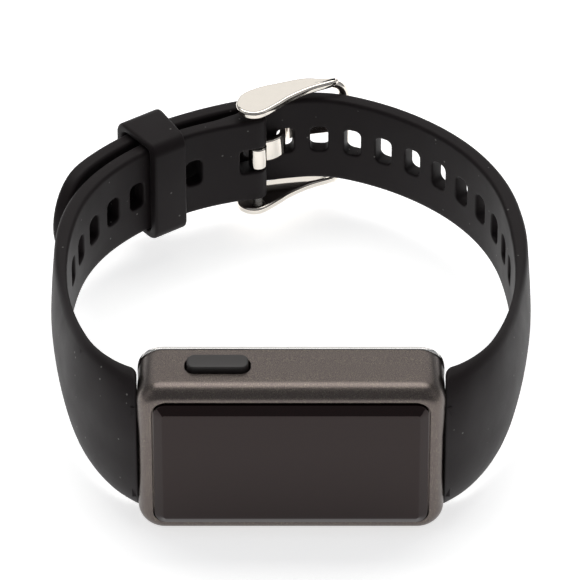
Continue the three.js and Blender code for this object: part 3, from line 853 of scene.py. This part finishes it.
def tube(name, points, radii, material, around=20):
    angles = [2 * math.pi * k / around for k in range(around)]
    sections = []
    for point, radius, (u, v) in zip(points, radii, across(points)):
        sections.append([place(*(Vector(point) + (u * math.cos(a) + v * math.sin(a)) * radius))
                         for a in angles])
    return swept(name, sections, material)


def make_buckle_frame():
    """A bar across the strap that bends into an arm at each end. Arms and bar share one mesh."""
    radius = BUCKLE["bar_radius"]
    arm_height = BUCKLE["top"] - BUCKLE["arm_thickness"] / 2
    half_path = [(3.2, 76.6, arm_height), (5.0, 77.1, arm_height), (6.3, 77.5, arm_height - 0.25),
                 (7.3, 77.9, arm_height - 1.1), (*BAR, arm_height - 2.6), (*BAR, 3.0)]
    path = spline(half_path + [(x, y, -z) for x, y, z in reversed(half_path)], 10)
    radii = []
    for _, _, z in path:
        near_arm = smoothstep(abs(z), arm_height - 2.8, arm_height - 0.4)
        radii.append(radius + (BUCKLE["elbow_radius"] - radius) * near_arm)
    bar = tube("buckle_frame_steel", path, radii, MATERIALS["polished_steel"])
    joined = bmesh.new()
    joined.from_mesh(bar.data)
    for sign in (1, -1):
        arm = buckle_arm(sign)
        joined.from_mesh(arm.data)
        bpy.data.objects.remove(arm)
    joined.to_mesh(bar.data)
    joined.free()
    shade(bar, 60)
    return bar


def make_prong():
    """A strip rolled round the pin. It leaves the pin's far side and ends outside the next hole."""
    half = PRONG["width"] / 2
    roll = []
    for k in range(25):
        a = math.radians(PRONG["roll_from"] - PRONG["roll_turn"] * k / 24)
        roll.append((PIN["x"] + PRONG["roll_radius"] * math.cos(a),
                     PIN["y"] + PRONG["roll_radius"] * math.sin(a)))
    line = roll + spline([*roll[-2:], *PRONG_SHAFT], 6)[7:]
    clean = [line[0]]
    for point in line[1:]:
        if math.dist(point, clean[-1]) > 0.12:
            clean.append(point)
    sections = []
    for k, (x, y) in enumerate(clean):
        a, b = clean[max(k - 1, 0)], clean[min(k + 1, len(clean) - 1)]
        dx, dy = b[0] - a[0], b[1] - a[1]
        length = math.hypot(dx, dy)
        nx, ny = -dy / length, dx / length
        along = smoothstep(k, len(roll) - 3, len(roll) + 8)
        thick = PRONG["roll_thickness"] + (PRONG["thickness"] - PRONG["roll_thickness"]) * along
        to_tip = max(0.0, 1 - math.dist((x, y), clean[-1]) / PRONG["tip"])
        shrink = max(math.sqrt(1 - to_tip ** 2), 0.12)
        width = (half - PRONG["taper"] * smoothstep(x, -2, 6)) * (0.55 + 0.45 * shrink)
        section = rounded_rectangle(2 * width, thick * shrink, min(0.24, thick * shrink * 0.45), 5)
        sections.append([place(x + nx * t, y + ny * t, z) for z, t in section])
    return swept("buckle_prong_steel", sections, MATERIALS["polished_steel"], sharp_degrees=60)


# ---------- case, glass, button, back

def make_case_shell():
    length, width, corner, fillet = CASE["length"], CASE["width"], CASE["corner"], CASE["fillet"]
    front, back = depths_of("case_shell")
    open_length, open_width = GLASS["length"] + 2 * WINDOW["gap"], GLASS["width"] + 2 * WINDOW["gap"]
    reach_x, reach_z = (length - open_length) / 2, (width - open_width) / 2
    rings = []
    for f in (0.0, 0.12, 0.25, 0.4, 0.6, 0.8, 1.0):
        narrower = 2 * CASE["draft"] * (1 - f) ** 2
        rings.append((length - narrower, width - narrower, corner, back + (front + fillet - back) * f))
    for k in range(1, 15):
        a = math.pi / 2 * k / 14
        inset = 1 - math.cos(a)
        rings.append((length - 2 * reach_x * inset, width - 2 * reach_z * inset,
                      corner - (corner - 2.0) * inset, front + fillet * (1 - math.sin(a))))
    inner_corner = CASE["opening_corner"]
    window = (WINDOW["open_length"], WINDOW["open_width"], 1.0)
    # The glass opening with its small edge, the seat under the glass, the window and the cavity.
    rings += [(open_length - 0.06, open_width - 0.06, inner_corner, front + 0.02),
              (open_length - 0.1, open_width - 0.1, inner_corner, front + 0.12),
              (open_length - 0.1, open_width - 0.1, inner_corner, WINDOW["seat"]),
              (*window, WINDOW["seat"]),
              (*window, WINDOW["cavity_front"]),
              (WINDOW["cavity_length"], WINDOW["open_width"] - 0.02, 1.0, WINDOW["cavity_front"]),
              (WINDOW["cavity_length"], WINDOW["cavity_width"], 1.2, WINDOW["cavity_front"] + 0.01),
              (WINDOW["cavity_length"], WINDOW["cavity_width"], 1.2, back)]
    shell = ring_stack("case_shell_metal", rings, MATERIALS["case_metal"], closed=True, corner_steps=12)
    cut(shell, [button_cutter(), slot_cutter(1), slot_cutter(-1)])
    shade(shell, 40)
    return shell


def pill_stack(name, levels, material, steps=14):
    """A solid that stands along Z on the button's outline, grown at its ends and sides at each height:
    levels are (ends, sides, height)."""
    sections = []
    for ends, sides, height in levels:
        outline = rounded_rectangle(BUTTON["length"] + 2 * ends, BUTTON["width"] + 2 * sides,
                                    BUTTON["corner"] + sides, steps, (BUTTON["x"], BUTTON["y"]))
        sections.append([place(x, y, height) for x, y in outline])
    return swept(name, sections, material, sharp_degrees=40)


def button_cutter():
    """The button's hole with its lip, and the wider pocket for the flange inside the wall."""
    gap, lip, clearance = BUTTON["gap"], BUTTON["gap"] + BUTTON["lip"], BUTTON["pocket_clearance"]
    pocket = (BUTTON["flange_ends"] + clearance, BUTTON["flange_sides"] + clearance)
    wall_from = WINDOW["cavity_width"] / 2
    pocket_top = wall_from + BUTTON["pocket_depth"]
    side = CASE["width"] / 2
    levels = [(*pocket, wall_from - 1), (*pocket, pocket_top),
              (gap, gap, pocket_top), (gap, gap, side - 0.25), (gap + 0.05, gap + 0.05, side - 0.12),
              (lip, lip, side + 0.04), (lip, lip, side + 2)]
    return pill_stack("cutter", levels, MATERIALS["case_metal"])


def slot_cutter(side):
    """The slot in a case end that takes the strap's tongue."""
    outline = rounded_rectangle(SLOT["length"], SLOT["width"], SLOT["corner"], 5, (0.0, SLOT["y"]))
    reach = (SLOT["floor_x"], CASE["length"] / 2 + 1)
    sections = [[place(side * x, y, z) for z, y in outline] for x in reach]
    return swept("cutter", sections, MATERIALS["case_metal"])


def make_button():
    low = BUTTON["flange_bottom"]
    flange = (BUTTON["flange_ends"], BUTTON["flange_sides"])
    flange_top = low + BUTTON["flange_thickness"]
    top = (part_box("side_button")[1].z - MID_HEIGHT) / MM
    levels = [(*flange, low), (*flange, flange_top), (0, 0, flange_top)]
    levels += [(-inset, -inset, top - drop - BUTTON["dome"]) for inset, drop in quarter(BUTTON["rim"])]
    levels.append((-0.7, -0.7, top))
    return pill_stack("side_button_plastic", levels, MATERIALS["black_plastic"])


def make_glass():
    """Its front face, a bevel all round down to a small soft edge, and its straight sides."""
    length, width, corner = GLASS["length"], GLASS["width"], GLASS["corner"]
    _, back = depths_of("cover_glass")
    bevel, depth = GLASS["bevel"], GLASS["bevel_depth"]
    slope = depth / bevel
    levels = [(0.15, corner - 0.15, back), (0.0, corner, back - 0.15), (0.0, corner, depth + 0.12),
              (0.0, corner, depth + 0.06), (0.03, corner - 0.03, depth + 0.015),
              (0.06, corner - 0.06, depth - 0.03)]
    levels += [(inset, max(corner - inset, 0.3), depth - slope * inset) for inset in (0.35, bevel - 0.12)]
    levels += [(bevel, 0.3, 0.012), (bevel + 0.06, 0.25, 0.0), (bevel + 0.6, 0.2, 0.0)]
    rings = [(length - 2 * inset, width - 2 * inset, radius, level) for inset, radius, level in levels]
    return ring_stack("cover_glass_dark", rings, MATERIALS["display_glass"], sharp_degrees=25)


def make_trim():
    length, width, corner = CASE["length"], CASE["width"], CASE["corner"]
    front, back = depths_of("back_trim_ring")
    levels = [(1.0, front), (TRIM_RIM, front)]
    levels += [(inset, front + drop) for inset, drop in reversed(quarter(TRIM_RIM, 4))]
    levels += [(inset, back - drop) for inset, drop in quarter(TRIM_RIM, 4)]
    levels.append((1.0, back))
    rings = [(length - 2 * inset, width - 2 * inset, corner - inset, level) for inset, level in levels]
    return ring_stack("back_trim_chrome", rings, MATERIALS["chrome_trim"], closed=True)


def lathe(name, centre, profile, material, around=48):
    """A turned solid about an axis along Y: the profile is (radius, depth), on the axis at both ends."""
    angles = [2 * math.pi * k / around for k in range(around)]
    sections = []
    for radius, depth in profile:
        r = max(radius, 0.01)
        sections.append([place(centre[0] + r * math.cos(a), depth, centre[1] + r * math.sin(a))
                         for a in angles])
    return swept(name, sections, material, sharp_degrees=40)


def make_back_cover():
    """A plate with a raised ring round the sensor, and holes for the window, contacts and screws."""
    plastic = MATERIALS["black_plastic"]
    front, back, corner, step = COVER["front"], COVER["back"], COVER["corner"], COVER["step"]
    length, width = CASE["length"] - 2 * step, CASE["width"] - 2 * step
    levels = [(step, corner - step, front - 0.4), (step, corner - step, front), (0, corner, front)]
    levels += [(inset, corner - inset, back - drop) for inset, drop in quarter(COVER["rim"])]
    levels.append((1.2, 1.9, back))
    rings = [(length - 2 * inset, width - 2 * inset, radius, level) for inset, radius, level in levels]
    cover = ring_stack("back_cover_plastic", rings, plastic)
    boss = [(0, back - 0.4), (8.3, back - 0.4), (8.3, back - 0.05), (8.0, back + 0.03), (7.7, back + 0.2),
            (7.45, COVER["boss_top"]), (0, COVER["boss_top"])]
    cut(cover, [lathe("boss", (0, 0), boss, plastic, 64)], "UNION")
    seat = [(0, 11.5), (6.1, 11.5), (6.1, 12.13), (6.25, 13), (0, 13)]
    well = [(0, 10), (4.8, 10), (4.8, 12), (0, 12)]
    screw_hole = [(0, 10), (0.65, 10), (0.65, 11.3), (1.2, 11.3), (1.2, 11.8), (1.45, 12.05), (0, 12.05)]
    contact_hole = [(0, 10), (1.05, 10), (1.05, 11.8), (1.25, 12.0), (0, 12.0)]
    cutters = [lathe("cutter", (0, 0), seat, plastic, 64), lathe("cutter", (0, 0), well, plastic, 64)]
    cutters += [lathe("cutter", centre, screw_hole, plastic, 32) for centre in SCREWS]
    cutters += [lathe("cutter", centre, contact_hole, plastic, 32) for centre in CONTACTS.values()]
    cut(cover, cutters)
    shade(cover, 35)
    return cover


def make_sensor_window():
    """A disc with a low dome."""
    radius, rise, shoulder = 5.9, 0.2, 12.1
    dome = [(0, 11.5), (6.0, 11.5), (6.0, 12.02), (5.93, shoulder)]
    for k in range(1, 12):
        a = math.pi / 2 * k / 12
        dome.append((radius * math.cos(a), shoulder + rise * math.sin(a)))
    dome.append((0, shoulder + rise))
    return lathe("sensor_window_glass", (0, 0), dome, MATERIALS["sensor_glass"], 64)


def make_contact(name, centre):
    profile = [(0, 10.8), (0.95, 10.8), (0.95, 11.7), (0.82, 11.83), (0.6, 11.85), (0, 11.85)]
    return lathe(name, centre, profile, MATERIALS["gold_plate"], 32)


def make_screw(name, centre):
    """A small screw with a cross recess in its head."""
    profile = [(0, 8.4), (0.5, 8.4), (0.5, 11.3), (1.1, 11.3), (1.1, 11.66), (0.98, 11.78), (0, 11.8)]
    screw = lathe(name, centre, profile, MATERIALS["steel"], 32)
    u, v, floor = 0.72, 0.15, 11.45
    for degrees in (20, 110):
        cos, sin = math.cos(math.radians(degrees)), math.sin(math.radians(degrees))
        corners = [(centre[0] + a * cos - b * sin, centre[1] + a * sin + b * cos)
                   for a, b in ((-u, -v), (u, -v), (u, v), (-u, v))]
        sections = [[place(x, depth, z) for x, z in corners] for depth in (floor, floor + 0.75)]
        cut(screw, [swept("cutter", sections, MATERIALS["steel"])])
    shade(screw, 40)
    return screw


# ---------- assembly

def fit(obj, body, slot, *nodes):
    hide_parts(*nodes)
    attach(obj, body)


fit(make_case_shell(), "case", "case_metal", "case_shell")
fit(make_glass(), "case", "display_glass", "cover_glass")
fit(make_trim(), "case", "chrome_trim", "back_trim_ring")
fit(make_back_cover(), "case", "black_plastic", "back_cover")
fit(make_sensor_window(), "case", "sensor_glass", "sensor_window")
for contact, contact_centre in CONTACTS.items():
    fit(make_contact(contact + "_gold", contact_centre), "case", "gold_plate", contact)
for number, screw_centre in enumerate(SCREWS, start=1):
    fit(make_screw(f"back_screw_{number}_steel", screw_centre), "case", "steel", f"back_screw_{number}")
fit(make_button(), "button", "black_plastic", "side_button")
fit(make_keeper(), "keeper", "silicone", "keeper_loop")
fit(make_buckle_frame(), "buckle", "polished_steel", "buckle_frame")
fit(make_prong(), "prong", "polished_steel", "buckle_prong")

for strap_half, node, body, side in ((make_long_strap(), "strap_long", "long_strap", 1),
                                     (make_short_strap(), "strap_short", "short_strap", -1)):
    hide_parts(node)
    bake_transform(strap_half)

CARRIED = {
    "display_gasket": "black_plastic", "display_panel": "display_stack", "inner_frame": "black_plastic",
    "main_board": "circuit_board", "battery": "battery_foil", "vibration_motor": "steel",
    "button_switch": "steel", "sensor_board": "circuit_board", "optical_sensor": "black_plastic",
    "back_seal": "silicone", "buckle_pin": "steel", "spring_bar_left": "steel", "spring_bar_right": "steel",
}
for obj in bpy.data.objects:
    if obj.name in CARRIED and obj.type == "MESH":
        obj.data.materials.clear()
        obj.data.materials.append(MATERIALS[CARRIED[obj.name]])


# ---------- floor, light and camera

def make_floor():
    material, tree, shader, vector = make_material("floor")
    base = colour_mix(tree, noise(tree, vector, 3, 2), (0.93, 0.93, 0.93), (0.95, 0.95, 0.95))
    tree.links.new(base, shader.inputs["Base Color"])
    shader.inputs["Roughness"].default_value = 0.8
    shader.inputs["Specular IOR Level"].default_value = 0.1
    shader.inputs["Emission Color"].default_value = (1.0, 1.0, 1.0, 1.0)
    shader.inputs["Emission Strength"].default_value = 0.64
    corners = [(x * FLOOR_HALF, y * FLOOR_HALF, FLOOR_HEIGHT)
               for x, y in ((-1, -1), (1, -1), (1, 1), (-1, 1))]
    floor = new_object("floor", corners, [(0, 1, 2, 3)], material)


def softbox(name, spot, width, height, radiance):
    """A soft light that faces the band. The radiance doesn't depend on its size."""
    data = bpy.data.lights.new(name, "AREA")
    data.shape = "RECTANGLE"
    data.size, data.size_y = width, height
    data.energy = radiance * math.pi * width * height
    data.color = (1.0, 0.985, 0.96)
    light = bpy.data.objects.new(name, data)
    light.location = spot
    light.rotation_euler = (Vector((0, centre.y, 0)) - Vector(spot)).to_track_quat("-Z", "Y").to_euler()
    bpy.context.scene.collection.objects.link(light)


make_floor()
centre = place(0, 40, 0)
softbox("overhead", (0, centre.y + 0.3, 0.75), 0.9, 0.4, 2.9)
softbox("back", (0, centre.y + 1.0, 0.55), 1.5, 0.55, 0.78)
softbox("left", (-0.9, centre.y - 0.15, 0.45), 0.5, 0.7, 0.36)
softbox("right", (0.9, centre.y - 0.15, 0.45), 0.5, 0.7, 0.24)

world = bpy.data.worlds.new("studio")
bpy.context.scene.world = world
world.use_nodes = True
background = world.node_tree.nodes["Background"]
background.inputs["Color"].default_value = (0.95, 0.97, 1.0, 1.0)
background.inputs["Strength"].default_value = 0.27

ELEVATION = math.radians(38.5)
DISTANCE = 800
MIDDLE_ACROSS, MIDDLE_UP = -0.14, 24.55
aim = place(MIDDLE_ACROSS, MIDDLE_UP * math.sin(ELEVATION), MIDDLE_UP * math.cos(ELEVATION))
eye = aim + Vector((0, -math.cos(ELEVATION), math.sin(ELEVATION))) * (DISTANCE * MM)
camera_data = bpy.data.cameras.new("camera")
camera_data.lens = 360
camera_data.sensor_width = 36
camera_data.clip_end = 10
camera = bpy.data.objects.new("camera", camera_data)
camera.location = eye
camera.rotation_euler = (aim - eye).to_track_quat("-Z", "Y").to_euler()
bpy.context.scene.collection.objects.link(camera)
bpy.context.scene.camera = camera
bpy.context.scene.view_settings.view_transform = "Standard"
